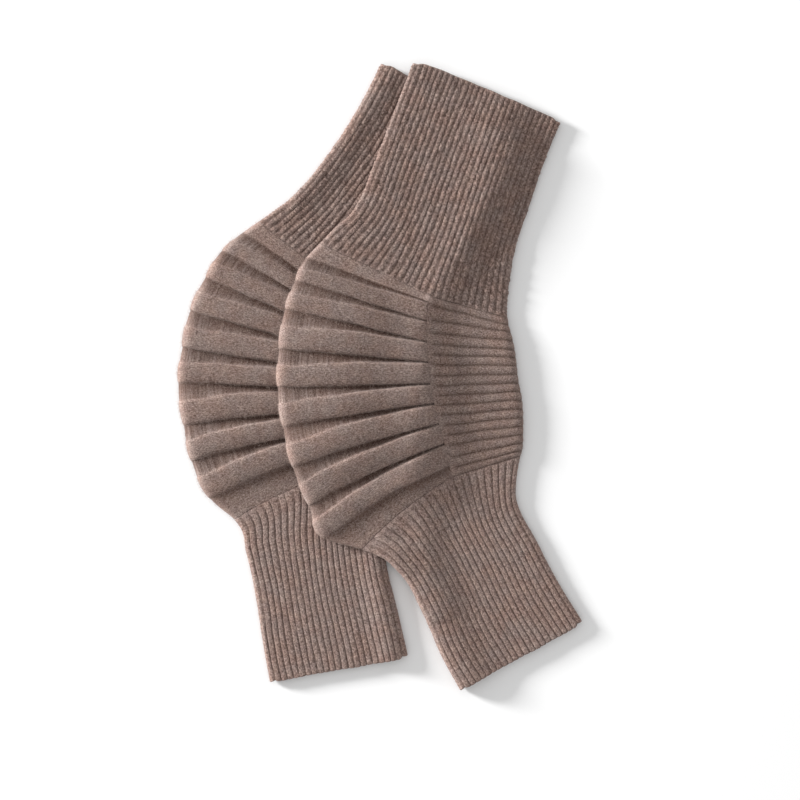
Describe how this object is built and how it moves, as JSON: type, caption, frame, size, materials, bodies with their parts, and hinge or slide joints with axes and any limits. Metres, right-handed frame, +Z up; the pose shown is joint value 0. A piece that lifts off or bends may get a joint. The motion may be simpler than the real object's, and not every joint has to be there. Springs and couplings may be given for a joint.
{
  "type": "pair of knee warmers",
  "caption": "Knitted knee warmers laid flat, one partly over the other, with ribbed thigh and calf cuffs, a pleated knee front and a finely ribbed back.",
  "frame": {"origin": "on the floor, under the middle of the pair's box", "axes": "+X across the legs, from the front of the knees to the back; +Y up the legs, towards the thigh hems; +Z up from the floor the pair lies on"},
  "size_m": [0.304, 0.4724, 0.0264],
  "materials": {
    "thigh_rib_knit": "matte wool 1x1 rib",
    "pleated_knit": "brushed wool plain knit in pleats",
    "fine_rib_knit": "matte wool, fine ribs across",
    "calf_rib_knit": "matte wool 1x1 rib"
  },
  "bodies": {
    "root": {"over_thigh_cuff": "thigh_rib_knit", "over_knee_cup": "pleated_knit", "over_knee_back": "fine_rib_knit", "over_calf_cuff": "calf_rib_knit", "under_thigh_cuff": "thigh_rib_knit", "under_knee_cup": "pleated_knit", "under_knee_back": "fine_rib_knit", "under_calf_cuff": "calf_rib_knit"}
  },
  "joints": []
}
